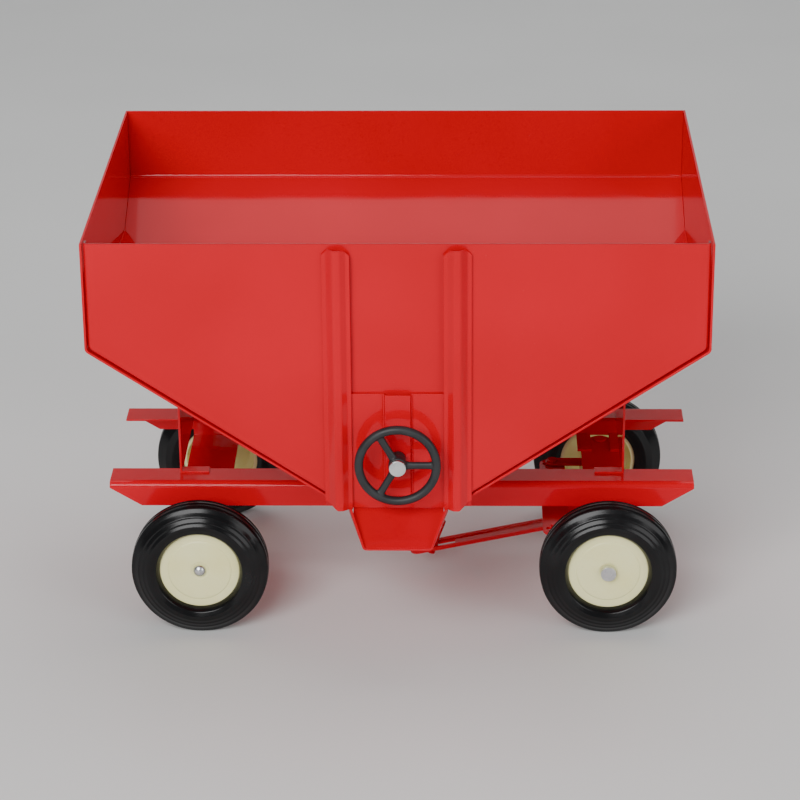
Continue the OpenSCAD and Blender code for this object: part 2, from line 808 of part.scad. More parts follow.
discharge_panel();
back_panel();
front_end_sheet();
rear_end_sheet();
front_rib();
rear_rib();
chute();
near_rail();
far_rail();
front_support();
rear_support();
rear_axle_bracket();
rear_axle();
front_beam();
near_kingpin();
far_kingpin();
centre_pin();
rear_near_hub();
rear_near_tyre();
rear_far_hub();
rear_far_tyre();
near_knuckle();
far_knuckle();
near_stub_axle();
far_stub_axle();
near_cap();
far_cap();
front_near_hub();
front_near_tyre();
front_far_hub();
front_far_tyre();
tie_rod();
near_arm_rivet();
far_arm_rivet();
steering_yoke();
drive_pin();
tongue();
tongue_pin();
hitch_peg();
door();
door_spindle();
handwheel();
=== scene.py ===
"""Toy gravity wagon: finished sheet metal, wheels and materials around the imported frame."""

import json
from math import atan, atan2, cos, exp, pi, radians, sin, sqrt, tan

import bmesh
import bpy
from mathutils import Matrix, Vector, geometry

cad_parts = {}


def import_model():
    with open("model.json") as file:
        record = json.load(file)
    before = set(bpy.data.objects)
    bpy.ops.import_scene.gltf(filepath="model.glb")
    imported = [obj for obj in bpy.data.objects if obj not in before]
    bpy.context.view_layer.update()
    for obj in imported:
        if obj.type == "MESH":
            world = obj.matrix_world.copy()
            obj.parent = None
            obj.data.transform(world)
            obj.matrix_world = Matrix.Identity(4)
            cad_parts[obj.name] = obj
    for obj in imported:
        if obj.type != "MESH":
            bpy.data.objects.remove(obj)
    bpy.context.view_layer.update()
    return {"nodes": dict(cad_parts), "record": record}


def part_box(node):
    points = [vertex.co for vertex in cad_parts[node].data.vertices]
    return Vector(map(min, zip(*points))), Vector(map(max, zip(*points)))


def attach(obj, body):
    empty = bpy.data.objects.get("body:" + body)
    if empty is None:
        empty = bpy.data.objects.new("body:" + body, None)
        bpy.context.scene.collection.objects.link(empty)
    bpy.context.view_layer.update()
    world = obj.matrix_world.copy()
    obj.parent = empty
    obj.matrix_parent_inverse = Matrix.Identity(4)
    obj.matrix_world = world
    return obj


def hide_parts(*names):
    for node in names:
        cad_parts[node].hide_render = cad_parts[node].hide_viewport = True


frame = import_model()
nodes = frame["nodes"]
slots = {entry["node"]: entry["material_slot"] for entry in frame["record"]["subparts"]}
mm = 0.001


# ---------------------------------------------------------------- sizes, from the frame
end_lo, end_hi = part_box("front_end_sheet")
rib_lo, rib_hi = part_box("front_rib")
door_lo, door_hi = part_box("door")
chute_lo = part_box("chute")[0]
SHEET = 0.9 * mm
END_WALL = 44.2 * mm
BACK_WALL = 30 * mm
TOE = 4 * mm
SEAM = 0.6 * mm
PANEL_FLANGE = 4 * mm
BEND = 1.7 * mm
SLIDE_GAP = 0.3 * mm
CHUTE_HEAD = 2.7 * mm  # from the panel's face to the chute's side walls
FLOOR_LAP = 0.65  # how far the floor's edges reach into the end sheets, as a share of the sheet
half_length, rim = end_hi.x, end_hi.z
face_y, back_y = end_lo.y, end_hi.y
panel_bottom = rib_lo.z
rib_in, rib_out = rib_lo.x, rib_hi.x
wall_foot = rim - END_WALL
slope = (wall_foot - panel_bottom - TOE) / (half_length - rib_out)
fall = (rim - BACK_WALL - panel_bottom) / (back_y - face_y)
slope_angle, fall_angle = atan(slope), atan(fall)


def slope_z(x):
    """Height of the end sheets' outer face on their slope."""
    return wall_foot - (half_length - x) * slope


def under_z(y):
    """Height of the hopper floor's underside."""
    return panel_bottom + (y - face_y) * fall


# ---------------------------------------------------------------- mesh helpers
def finish_mesh(name, bm, material, body, replaced, bevel=0.0, angle=35.0, segments=2):
    """Turns a bmesh into a smooth-shaded object that stands for a CAD node."""
    bmesh.ops.remove_doubles(bm, verts=bm.verts, dist=2e-7)
    bmesh.ops.recalc_face_normals(bm, faces=bm.faces)
    for face in bm.faces:
        face.smooth = True
    mesh = bpy.data.meshes.new(name)
    bm.to_mesh(mesh)
    bm.free()
    obj = bpy.data.objects.new(name, mesh)
    bpy.context.scene.collection.objects.link(obj)
    soften(obj, bevel, angle, segments)
    mesh.materials.append(material)
    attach(obj, body)
    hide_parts(*replaced)
    return obj


def soften(obj, width, angle=35.0, segments=2):
    """Rounds an object's sharp edges and weights its normals towards the large faces."""
    if width:
        bevel = obj.modifiers.new("edges", "BEVEL")
        bevel.width = width
        bevel.segments = segments
        bevel.limit_method = "ANGLE"
        bevel.angle_limit = radians(angle)
        bevel.use_clamp_overlap = True
        bevel.miter_outer = "MITER_ARC"
    weighted = obj.modifiers.new("normals", "WEIGHTED_NORMAL")
    weighted.weight = 80
    weighted.keep_sharp = True


def rounded_path(points, radius, steps=8):
    """A 2-D path with round corners, as (point, left-hand normal) pairs."""
    pts = [Vector(p) for p in points]
    radii = radius if isinstance(radius, (list, tuple)) else [radius] * len(pts)
    out = []
    for i, p in enumerate(pts):
        before = (p - pts[i - 1]).normalized() if i > 0 else None
        after = (pts[i + 1] - p).normalized() if i < len(pts) - 1 else None
        if before is None or after is None:
            d = after or before
            out.append((p, Vector((-d.y, d.x))))
            continue
        turn = atan2(before.x * after.y - before.y * after.x, before.dot(after))
        left = Vector((-before.y, before.x))
        if abs(turn) < 1e-4 or radii[i] <= 0:
            out.append((p, left))
            continue
        reach = radii[i] * tan(abs(turn) / 2)
        start = p - before * reach
        side = 1 if turn > 0 else -1
        centre = start + left * radii[i] * side
        for k in range(steps + 1):
            turned = Matrix.Rotation(turn * k / steps, 2) @ left
            out.append((centre - turned * radii[i] * side, turned))
    return out


def strip_mesh(path, thick, low, high, place):
    """A bent sheet: a rounded path given thickness to its left, run from low(u, v) to high(u, v)."""
    bm = bmesh.new()
    rings = []
    for p, n in path:
        q = p + n * thick
        ring = []
        for u, v in ((p.x, p.y), (q.x, q.y)):
            ring.append(bm.verts.new(place(u, v, low(u, v))))
            ring.append(bm.verts.new(place(u, v, high(u, v))))
        rings.append(ring)
    for a, b in zip(rings, rings[1:]):
        bm.faces.new((a[0], b[0], b[1], a[1]))
        bm.faces.new((a[2], a[3], b[3], b[2]))
        bm.faces.new((a[0], a[2], b[2], b[0]))
        bm.faces.new((a[1], b[1], b[3], a[3]))
    for r, flip in ((rings[0], False), (rings[-1], True)):
        quad = (r[0], r[1], r[3], r[2])
        bm.faces.new(quad[::-1] if flip else quad)
    return bm


def lathe(profile, segments, centre, closed=True):
    """A solid of revolution about Y from (radius, y) points."""
    bm = bmesh.new()
    rings = []
    for r, y in profile:
        if r < 1e-7:
            rings.append([bm.verts.new((centre.x, y, centre.z))])
            continue
        ring = []
        for k in range(segments):
            a = 2 * pi * k / segments
            ring.append(bm.verts.new((centre.x + r * cos(a), y, centre.z + r * sin(a))))
        rings.append(ring)
    pairs = list(zip(rings, rings[1:]))
    if closed:
        pairs.append((rings[-1], rings[0]))
    for a, b in pairs:
        for k in range(segments):
            j = (k + 1) % segments
            if len(a) == 1 and len(b) == 1:
                break
            if len(a) == 1:
                bm.faces.new((a[0], b[j], b[k]))
            elif len(b) == 1:
                bm.faces.new((a[k], a[j], b[0]))
            else:
                bm.faces.new((a[k], a[j], b[j], b[k]))
    return bm


# ---------------------------------------------------------------- materials
def new_material(name):
    mat = bpy.data.materials.new(name)
    mat.use_nodes = True
    tree = mat.node_tree
    shader = tree.nodes["Principled BSDF"]
    return mat, tree, shader


def add(tree, kind, **inputs):
    """A shader node with its input values set by name."""
    node = tree.nodes.new(kind)
    for key, value in inputs.items():
        node.inputs[key.replace("_", " ")].default_value = value
    return node


def noise(tree, coords, scale, detail=3.0, roughness=0.5):
    node = add(tree, "ShaderNodeTexNoise", Scale=scale, Detail=detail, Roughness=roughness)
    tree.links.new(coords.outputs["Object"], node.inputs["Vector"])
    return node


def ramp(tree, source, stops, interpolation="LINEAR"):
    """A colour ramp with (position, grey or colour) stops."""
    node = tree.nodes.new("ShaderNodeValToRGB")
    node.color_ramp.interpolation = interpolation
    while len(node.color_ramp.elements) < len(stops):
        node.color_ramp.elements.new(0.5)
    for element, (position, value) in zip(node.color_ramp.elements, stops):
        element.position = position
        element.color = (*value, 1) if isinstance(value, tuple) else (value, value, value, 1)
    tree.links.new(source, node.inputs["Fac"])
    return node


def mix(tree, factor, a, b):
    """A colour mix; a and b are sockets or colours."""
    node = tree.nodes.new("ShaderNodeMix")
    node.data_type = "RGBA"
    tree.links.new(factor, node.inputs["Factor"])
    for socket, value in ((node.inputs[6], a), (node.inputs[7], b)):
        if isinstance(value, tuple):
            socket.default_value = (*value, 1)
        else:
            tree.links.new(value, socket)
    return node.outputs[2]


def bump_chain(tree, shader, layers):
    """Bump from several height sockets: (height socket, strength, distance)."""
    normal = None
    for height, strength, distance in layers:
        node = add(tree, "ShaderNodeBump", Strength=strength, Distance=distance)
        tree.links.new(height, node.inputs["Height"])
        if normal:
            tree.links.new(normal, node.inputs["Normal"])
        normal = node.outputs["Normal"]
    tree.links.new(normal, shader.inputs["Normal"])


def enamel():
    """Glossy red baked enamel: orange peel, slightly wavy sheet, fine dust and wiping scratches."""
    mat, tree, shader = new_material("red_enamel")
    coords = tree.nodes.new("ShaderNodeTexCoord")
    broad = noise(tree, coords, 14, 2)
    fine = noise(tree, coords, 90, 4, 0.6)
    tone = mix(tree, ramp(tree, broad.outputs["Fac"], [(0.35, 0.0), (0.65, 1.0)]).outputs["Color"],
               (0.62, 0.0, 0.010), (0.68, 0.0, 0.014))
    specks = ramp(tree, noise(tree, coords, 1400, 1).outputs["Fac"], [(0.76, 0.0), (0.80, 1.0)])
    patches = ramp(tree, fine.outputs["Fac"], [(0.45, 0.0), (0.7, 1.0)])
    dust = add(tree, "ShaderNodeMath")
    dust.operation = "MULTIPLY"
    tree.links.new(specks.outputs["Color"], dust.inputs[0])
    tree.links.new(patches.outputs["Color"], dust.inputs[1])
    faint = add(tree, "ShaderNodeMath")
    faint.operation = "MULTIPLY"
    faint.inputs[1].default_value = 0.22
    tree.links.new(dust.outputs[0], faint.inputs[0])
    tree.links.new(mix(tree, faint.outputs[0], tone, (0.75, 0.30, 0.25)), shader.inputs["Base Color"])
    rough = ramp(tree, fine.outputs["Fac"], [(0.3, 0.06), (0.8, 0.14)])
    tree.links.new(rough.outputs["Color"], shader.inputs["Roughness"])
    shader.inputs["Specular IOR Level"].default_value = 0.22
    peel = noise(tree, coords, 620, 2, 0.4)
    wave = noise(tree, coords, 22, 1)
    bump_chain(tree, shader, [(wave.outputs["Fac"], 0.25, 0.0012), (peel.outputs["Fac"], 0.10, 0.0001)])
    return mat


def rubber():
    """Glossy moulded rubber with a faint bloom and mould grain."""
    mat, tree, shader = new_material("tyre_rubber")
    coords = tree.nodes.new("ShaderNodeTexCoord")
    bloom = noise(tree, coords, 60, 5, 0.65)
    mask = ramp(tree, bloom.outputs["Fac"], [(0.45, 0.0), (0.75, 1.0)])
    tree.links.new(mix(tree, mask.outputs["Color"], (0.004, 0.004, 0.0045), (0.010, 0.010, 0.011)),
                   shader.inputs["Base Color"])
    rough = ramp(tree, bloom.outputs["Fac"], [(0.3, 0.16), (0.75, 0.28)])
    tree.links.new(rough.outputs["Color"], shader.inputs["Roughness"])
    shader.inputs["Specular IOR Level"].default_value = 0.28
    grain = noise(tree, coords, 1500, 2)
    lumps = noise(tree, coords, 120, 2)
    bump_chain(tree, shader, [(lumps.outputs["Fac"], 0.2, 0.0004), (grain.outputs["Fac"], 0.15, 0.00006)])
    return mat


def cream():
    """Cream moulding with slight yellowing and handling marks."""
    mat, tree, shader = new_material("hub_cream")
    coords = tree.nodes.new("ShaderNodeTexCoord")
    stain = noise(tree, coords, 45, 5, 0.6)
    mask = ramp(tree, stain.outputs["Fac"], [(0.42, 0.0), (0.72, 1.0)])
    marks = ramp(tree, noise(tree, coords, 700, 3, 0.7).outputs["Fac"], [(0.72, 0.0), (0.78, 1.0)])
    tone = mix(tree, mask.outputs["Color"], (0.97, 0.94, 0.50), (0.93, 0.88, 0.40))
    tree.links.new(mix(tree, marks.outputs["Color"], tone, (0.66, 0.58, 0.36)), shader.inputs["Base Color"])
    rough = ramp(tree, stain.outputs["Fac"], [(0.3, 0.30), (0.8, 0.45)])
    tree.links.new(rough.outputs["Color"], shader.inputs["Roughness"])
    shader.inputs["Subsurface Weight"].default_value = 0.05
    shader.inputs["Subsurface Radius"].default_value = (0.002, 0.0015, 0.001)
    grain = noise(tree, coords, 900, 2)
    bump_chain(tree, shader, [(stain.outputs["Fac"], 0.1, 0.0004), (grain.outputs["Fac"], 0.08, 0.00006)])
    return mat


def black_moulding():
    """Satin black moulding with a fine texture."""
    mat, tree, shader = new_material("handwheel_black")
    coords = tree.nodes.new("ShaderNodeTexCoord")
    cloud = noise(tree, coords, 130, 4, 0.6)
    mask = ramp(tree, cloud.outputs["Fac"], [(0.4, 0.0), (0.7, 1.0)])
    tree.links.new(mix(tree, mask.outputs["Color"], (0.012, 0.013, 0.015), (0.022, 0.024, 0.027)),
                   shader.inputs["Base Color"])
    rough = ramp(tree, cloud.outputs["Fac"], [(0.3, 0.42), (0.8, 0.56)])
    tree.links.new(rough.outputs["Color"], shader.inputs["Roughness"])
    grain = noise(tree, coords, 2400, 2)
    bump_chain(tree, shader, [(grain.outputs["Fac"], 0.25, 0.00008)])
    return mat


def zinc():
    """Bright zinc plating with faint spangle and tool marks."""
    mat, tree, shader = new_material("zinc_plate")
    coords = tree.nodes.new("ShaderNodeTexCoord")
    spangle = noise(tree, coords, 260, 4, 0.6)
    mask = ramp(tree, spangle.outputs["Fac"], [(0.35, 0.0), (0.7, 1.0)])
    tree.links.new(mix(tree, mask.outputs["Color"], (0.60, 0.62, 0.64), (0.74, 0.75, 0.76)),
                   shader.inputs["Base Color"])
    shader.inputs["Metallic"].default_value = 1.0
    rough = ramp(tree, spangle.outputs["Fac"], [(0.3, 0.22), (0.8, 0.38)])
    tree.links.new(rough.outputs["Color"], shader.inputs["Roughness"])
    bump_chain(tree, shader, [(spangle.outputs["Fac"], 0.15, 0.0001)])
    return mat


RED, BLACK, CREAM, WHEEL, ZINC = enamel(), rubber(), cream(), black_moulding(), zinc()
FINISHES = {
    "red_enamel": RED,
    "tyre_rubber": BLACK,
    "hub_cream": CREAM,
    "handwheel_black": WHEEL,
    "zinc_plate": ZINC,
}


# ---------------------------------------------------------------- hopper sheets
def along_y(u, v, w):
    return (u, w, v)


def end_sheet(side):
    """Upright wall and slope, bent from one sheet and cut off along the floor."""
    node = "front_end_sheet" if side > 0 else "rear_end_sheet"
    corner = rim - BACK_WALL
    path = rounded_path([(half_length, rim), (half_length, corner), (half_length, wall_foot),
                         (rib_out, slope_z(rib_out)), (rib_out - 6 * mm, slope_z(rib_out - 6 * mm))],
                        [0, 0, BEND + SHEET, 0, 0], 10)
    path = [(p, -n) for p, n in path]

    def high(u, v):
        return max(face_y + SHEET, min(back_y, face_y + (v - panel_bottom) / fall))

    def low(u, v):
        return face_y if abs(u) > rib_out + SEAM else face_y + SHEET

    bm = strip_mesh(path, SHEET, low, high, along_y)
    if side < 0:
        bmesh.ops.scale(bm, vec=(-1, 1, 1), verts=bm.verts)
    return finish_mesh("front_end" if side > 0 else "rear_end", bm, RED, "wagon", [node], 0.18 * mm)


def back_sheet():
    """Back wall and sloping floor in one bent sheet between the ends."""
    start = face_y + SHEET
    lift = SHEET * (1 - FLOOR_LAP) / cos(slope_angle)
    turn_z = wall_foot + lift - SHEET * slope
    turn_y = face_y + (turn_z - panel_bottom) / fall
    path = rounded_path([(back_y, rim), (back_y, under_z(back_y)), (turn_y, turn_z), (start, under_z(start))],
                        [0, BEND + SHEET, 0, 0], 10)
    path = [(p, -n) for p, n in path]

    def reach(u, v):
        return min(half_length - SHEET, half_length - (wall_foot + lift - v) / slope)

    bm = strip_mesh(path, SHEET, lambda u, v: -reach(u, v), reach, lambda u, v, w: (w, u, v))
    return finish_mesh("back_and_floor", bm, RED, "wagon", ["back_panel"], 0.18 * mm)


def panel():
    """The discharge panel: a flat face with round return bends down both sides and slopes."""
    edge = SHEET + SEAM
    side_x = half_length - edge
    lift = edge / cos(slope_angle)
    foot_z = slope_z(rib_out) + lift
    corner, steps = 3.2 * mm, 8
    outlet_half, outlet_height = 14 * mm, 38 * mm
    path = rounded_path([(-side_x, rim), (-side_x, slope_z(side_x) + lift), (-rib_out, foot_z)], corner, steps)
    turns = [pi / 2 * k / steps for k in range(steps + 1)]
    outer = [(BEND * (1 - sin(a)), BEND * (1 - cos(a))) for a in turns]
    outer.append((0, PANEL_FLANGE))
    thin = BEND - SHEET
    inner = [(SHEET + thin * (1 - sin(a)), SHEET + thin * (1 - cos(a))) for a in turns]
    inner.append((SHEET, PANEL_FLANGE))
    section = outer + inner[::-1]
    bm = bmesh.new()
    flat = {}
    for mirror in (1, -1):
        rings = []
        for p, n in path:
            ring = []
            for inset, depth in section:
                q = p + n * inset
                ring.append(bm.verts.new((q.x * mirror, face_y + depth, min(q.y, rim))))
            rings.append(ring)
        for a, b in zip(rings, rings[1:]):
            for k in range(len(section) - 1):
                bm.faces.new((a[k], a[k + 1], b[k + 1], b[k]))
        for ring in (rings[0], rings[-1]):
            count = len(outer)
            for k in range(count - 1):
                bm.faces.new((ring[k], ring[k + 1], ring[-2 - k], ring[-1 - k]))
        flat[mirror] = [r[0].co.copy() for r in rings]
    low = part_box("discharge_panel")[0].z
    outline = [(c.x, c.z) for c in flat[1]]
    outline += [(-rib_out, low), (rib_out, low)]
    outline += [(c.x, c.z) for c in reversed(flat[-1])]
    hole_low = panel_bottom + SHEET / cos(fall_angle) + SHEET * fall
    hole_high = hole_low + outlet_height
    hole = [(-outlet_half, hole_low), (outlet_half, hole_low),
            (outlet_half, hole_high), (-outlet_half, hole_high)]
    flat_loops = [[Vector((x, z, 0)) for x, z in outline], [Vector((x, z, 0)) for x, z in hole]]
    tris = geometry.tessellate_polygon(flat_loops)
    points = [p for loop in flat_loops for p in loop]
    for depth in (0, SHEET):
        verts = [bm.verts.new((p.x, face_y + depth, p.y)) for p in points]
        for tri in tris:
            bm.faces.new([verts[i] for i in tri])
        if depth == 0:
            front = verts
    count = len(outline)
    for loop_start, loop_len in ((0, count), (count, 4)):
        for k in range(loop_len):
            i, j = loop_start + k, loop_start + (k + 1) % loop_len
            if loop_start == 0 and (k < len(path) - 1 or count - len(path) <= k < count - 1):
                continue  # the bends start here
            bm.faces.new((front[i], front[j], verts[j], verts[i]))
    return finish_mesh("discharge_face", bm, RED, "wagon", ["discharge_panel"], 0)


def rib(side):
    """A pressed ridge: foot on the panel, lip over the door, corners cut at top and bottom."""
    drop, corner, toe = 1.5 * mm, 2.5 * mm, 5 * mm
    edge, foot_seam = 1.6 * mm, 0.22 * mm
    ridge_start, ridge_end = 3.9 * mm, 6.5 * mm
    soft, round_top = 1 * mm, 1.6 * mm
    top = rim - drop
    lip = face_y - 2 * SLIDE_GAP - SHEET
    out = rib_lo.y
    foot_y = face_y - SHEET - foot_seam
    ridge_in, ridge_out = rib_in + ridge_start, rib_in + ridge_end
    path = rounded_path([(rib_in, lip - SHEET), (rib_in + edge, lip - SHEET), (ridge_in, out), (ridge_out, out),
                         (rib_out - edge, foot_y), (rib_out, foot_y)],
                        [0, soft, round_top, round_top, soft, 0], 5)

    def high(u, v):
        return min(top, top - corner + (u - rib_in), top - corner + (rib_out - u))

    def low(u, v):
        bend = rib_out - toe
        return panel_bottom + max(0, u - bend) * slope

    bm = strip_mesh(path, SHEET, low, high, lambda u, v, w: (u, v, w))
    if side < 0:
        bmesh.ops.scale(bm, vec=(-1, 1, 1), verts=bm.verts)
    node = "front_rib" if side > 0 else "rear_rib"
    return finish_mesh(node + "_pressing", bm, RED, "wagon", [node], 0.2 * mm, 40)


def rail(side):
    """A rail with a round top bend and its lower corners cut away at the ends."""
    node = "far_rail" if side > 0 else "near_rail"
    lo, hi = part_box(node)
    half = hi.x
    outer = hi.y if side > 0 else lo.y
    inner = lo.y if side > 0 else hi.y
    cut, end_height = 13 * mm, 3.6 * mm
    path = rounded_path([(outer, lo.z), (outer, hi.z), (inner, hi.z)], BEND + SHEET, 10)
    path = [(p, n if side > 0 else -n) for p, n in path]

    def reach(u, v):
        rise = hi.z - end_height - lo.z
        return half - cut * max(0, 1 - (v - lo.z) / rise)

    bm = strip_mesh(path, SHEET, lambda u, v: -reach(u, v), reach, lambda u, v, w: (w, u, v))
    return finish_mesh(node + "_pressing", bm, RED, "wagon", [node], 0.18 * mm)


def chute():
    """A tray bent from sheet: its sides taper to the lip, and a tongue laps under the panel."""
    half_rear, half_lip = 19.4 * mm, 13.75 * mm
    start = CHUTE_HEAD / cos(fall_angle)
    side_rear, side_lip = 4 * mm, 1.2 * mm
    end = (face_y - chute_lo.y - side_lip * sin(fall_angle)) / cos(fall_angle)
    lap, round_length = 8 * mm, 1.6 * mm
    tray_bend, tongue_seam = BEND + 0.2 * mm, 0.1 * mm

    def world_point(x, s, n):
        return Vector((x, face_y - s * cos(fall_angle) - n * sin(fall_angle),
                       panel_bottom - s * sin(fall_angle) + n * cos(fall_angle)))

    bm = bmesh.new()
    stations = [start + (end - start) * k / 24 for k in range(25)]
    stations = [start + round_length * (1 - cos(pi / 2 * k / 5)) for k in range(6)] + stations[3:]
    rings = []
    for s in stations:
        t = (s - start) / (end - start)
        w = half_rear + (half_lip - half_rear) * t
        h = side_rear + (side_lip - side_rear) * t
        if s < start + round_length:
            k = (start + round_length - s) / round_length
            h = h * (0.7 + 0.3 * sqrt(max(0, 1 - k * k)))
        path = rounded_path([(-w, h), (-w, -SHEET), (w, -SHEET), (w, h)], tray_bend, 6)
        outer = [world_point(p.x, s, p.y) for p, n in path]
        inner = [world_point(p.x + n.x * SHEET, s, p.y + n.y * SHEET) for p, n in path]
        rings.append([bm.verts.new(p) for p in outer + inner[::-1]])
    for a, b in zip(rings, rings[1:]):
        for k in range(len(a)):
            j = (k + 1) % len(a)
            bm.faces.new((a[k], a[j], b[j], b[k]))
    count = len(rings[0]) // 2
    for ring in (rings[0], rings[-1]):
        for k in range(count - 1):
            bm.faces.new((ring[k], ring[k + 1], ring[-2 - k], ring[-1 - k]))
    tongue = []
    for s in (start + tongue_seam, -lap):
        for x in (-half_rear + BEND, half_rear - BEND):
            for n in (-SHEET, 0):
                tongue.append(bm.verts.new(world_point(x, s, n)))
    for quad in ((0, 1, 3, 2), (4, 6, 7, 5), (0, 4, 5, 1), (2, 3, 7, 6), (1, 5, 7, 3), (0, 2, 6, 4)):
        bm.faces.new([tongue[i] for i in quad])
    return finish_mesh("chute_tray", bm, RED, "wagon", ["chute"], 0.18 * mm, 40)


def smooth_step(t):
    t = max(0.0, min(1.0, t))
    return t * t * (3 - 2 * t)


def door():
    """The sliding plate with its pressed channel, closed and rounded at the foot."""
    half = door_hi.x
    front = face_y - SLIDE_GAP - SHEET
    rise, channel = 1.8 * mm, 5.15 * mm
    edge, fine, plain_foot = 1 * mm, 0.12 * mm, 5 * mm
    foot = door_lo.z + plain_foot
    soft = 0.45 * mm
    crease_x, crease_half, crease_depth = channel + 0.5 * mm, 0.3 * mm, 0.22 * mm
    xs = [-half, -half + edge] + [-channel - edge + fine * k for k in range(18)]
    xs.append(-channel + 1.6 * mm)
    xs += [0] + [-x for x in xs[::-1]]
    zs = [door_lo.z, door_lo.z + 2 * mm] + [foot - 0.4 * mm + 0.16 * mm * k for k in range(16)]
    zs += [foot + 6 * mm, door_hi.z - 6 * mm, door_hi.z]
    bm = bmesh.new()
    sheets = []
    for offset in (0, SHEET):
        rows = []
        for z in zs:
            row = []
            for x in xs:
                formed = smooth_step((z - foot) / (2 * soft))
                up = smooth_step((channel + 0.15 * mm - abs(x)) / soft) * formed
                crease = exp(-((abs(x) - crease_x) / crease_half) ** 2) * formed
                row.append(bm.verts.new((x, front - rise * up + crease_depth * crease + offset, z)))
            rows.append(row)
        sheets.append(rows)
        for a, b in zip(rows, rows[1:]):
            for k in range(len(xs) - 1):
                bm.faces.new((a[k], a[k + 1], b[k + 1], b[k]))
    f, b = sheets
    for k in range(len(xs) - 1):
        bm.faces.new((f[0][k], f[0][k + 1], b[0][k + 1], b[0][k]))
        bm.faces.new((f[-1][k], f[-1][k + 1], b[-1][k + 1], b[-1][k]))
    for k in range(len(zs) - 1):
        bm.faces.new((f[k][0], f[k + 1][0], b[k + 1][0], b[k][0]))
        bm.faces.new((f[k][-1], f[k + 1][-1], b[k + 1][-1], b[k][-1]))
    return finish_mesh("door_pressing", bm, RED, "door", ["door"], 0.15 * mm, 60)


def tube(bm, rings):
    """Closed shell through rings of points, capped at both ends."""
    rows = [[bm.verts.new(p) for p in ring] for ring in rings]
    for a, b in zip(rows, rows[1:]):
        for k in range(len(a)):
            j = (k + 1) % len(a)
            bm.faces.new((a[k], a[j], b[j], b[k]))
    bm.faces.new(rows[0])
    bm.faces.new(rows[-1][::-1])


def handwheel():
    """Moulded wheel: round rim, three oval spokes that flow into the rim, and a long boss."""
    lo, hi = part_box("handwheel")
    centre = (lo + hi) / 2
    radius = (hi.x - lo.x) / 2
    tube_r, turns, sides = 1.75 * mm, 96, 20
    ring_y = lo.y + tube_r
    big = radius - tube_r
    bm = bmesh.new()
    loops = []
    for k in range(turns):
        a = 2 * pi * k / turns
        loops.append([bm.verts.new((centre.x + (big + tube_r * cos(b)) * cos(a), ring_y + tube_r * sin(b),
                                    centre.z + (big + tube_r * cos(b)) * sin(a)))
                      for b in (2 * pi * j / sides for j in range(sides))])
    for k in range(turns):
        a, b = loops[k], loops[(k + 1) % turns]
        for j in range(sides):
            i = (j + 1) % sides
            bm.faces.new((a[j], a[i], b[i], b[j]))
    for turn in (0, 120, 240):
        a = radians(turn)
        out, across = Vector((cos(a), 0, sin(a))), Vector((-sin(a), 0, cos(a)))
        rings = []
        for d in (0.5, 3, 4.5, 6.5, 10, 12.5, 14, 15):
            reach = d * mm
            wide = (1.5 + 0.7 * max(0, (5.5 - d) / 5.5) + 0.9 * max(0, (d - 12) / 3) ** 2) * mm
            deep = 1.15 * mm
            middle = Vector((centre.x, ring_y + 0.2 * mm, centre.z)) + out * reach
            rings.append([middle + across * wide * cos(b) + Vector((0, deep * sin(b), 0))
                          for b in (2 * pi * j / 16 for j in range(16))])
        tube(bm, rings)
    back = hi.y
    rings = []
    boss = ((lo.y + 0.15 * mm, 3.3), (lo.y + 0.5 * mm, 3.6), (ring_y + 1.4 * mm, 3.6),
            (ring_y + 2.4 * mm, 3.4), (ring_y + 3.2 * mm, 3.05), (back - 0.1 * mm, 3.0))
    for y, r in boss:
        rings.append([(centre.x + r * mm * cos(b), y, centre.z + r * mm * sin(b))
                      for b in (2 * pi * j / 40 for j in range(40))])
    tube(bm, rings)
    bmesh.ops.recalc_face_normals(bm, faces=bm.faces)
    mesh = bpy.data.meshes.new("handwheel_moulding")
    bm.to_mesh(mesh)
    bm.free()
    obj = bpy.data.objects.new("handwheel_moulding", mesh)
    bpy.context.scene.collection.objects.link(obj)
    remesh = obj.modifiers.new("one_skin", "REMESH")
    remesh.mode = "VOXEL"
    remesh.voxel_size = 0.28 * mm
    remesh.use_smooth_shade = True
    flow = obj.modifiers.new("fillets", "SMOOTH")
    flow.factor = 0.5
    flow.iterations = 5
    mesh.materials.append(WHEEL)
    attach(obj, "handwheel")
    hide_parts("handwheel")
    return obj


for end in (-1, 1):
    end_sheet(end)
    rib(end)
    rail(end)
back_sheet()
panel()
chute()
door()
handwheel()


